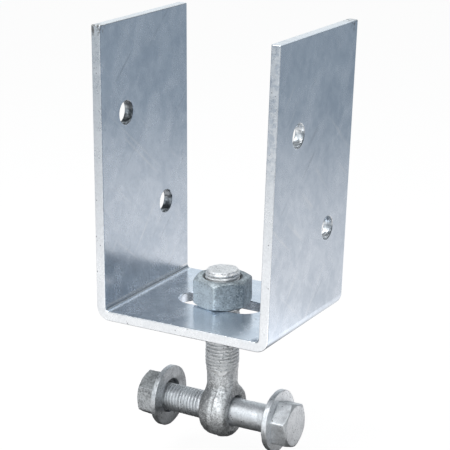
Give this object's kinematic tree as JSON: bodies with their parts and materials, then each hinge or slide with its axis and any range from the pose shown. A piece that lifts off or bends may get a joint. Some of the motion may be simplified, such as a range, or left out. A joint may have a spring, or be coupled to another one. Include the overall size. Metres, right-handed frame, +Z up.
{
  "type": "swivelling U bracket",
  "caption": "Galvanised steel U bracket for a post, with a slotted base, a hanging eye bolt and its nut, and a cross bolt with washers through the eye.",
  "frame": {"origin": "middle of the base plate's upper face, at the middle of its slot", "axes": "+X across the legs towards the bolt's head, +Y along the plate's width to the back, +Z up the legs"},
  "size_m": [0.1409, 0.11, 0.2991],
  "materials": {
    "plate_zinc": "hot-dip galvanised, satin",
    "forged_zinc": "hot-dip galvanised forging, matt",
    "nut_zinc": "hot-dip galvanised, matt",
    "bolt_zinc": "hot-dip galvanised, matt",
    "washer_zinc": "hot-dip galvanised, matt"
  },
  "bodies": {
    "bracket": {"u_bracket": "plate_zinc"},
    "slider": {"eye_bolt_nut": "nut_zinc"},
    "eye": {"eye_bolt": "forged_zinc"},
    "pivot": {"cross_bolt": "bolt_zinc", "head_washer": "washer_zinc", "nut_washer": "washer_zinc", "cross_bolt_nut": "bolt_zinc"}
  },
  "joints": [
    {"name": "slot_slide", "type": "slide", "parent": "bracket", "child": "slider", "axis": [1, 0, 0], "range_m": [-0.0212, 0.0182]},
    {"name": "stud_swivel", "type": "hinge", "parent": "slider", "child": "eye", "pos_m": [0.0015, 0, 0], "axis": [0, 0, 1], "continuous": true},
    {"name": "eye_pivot", "type": "hinge", "parent": "eye", "child": "pivot", "pos_m": [0.0015, 0, -0.0802], "axis": [1, 0, 0], "continuous": true}
  ]
}
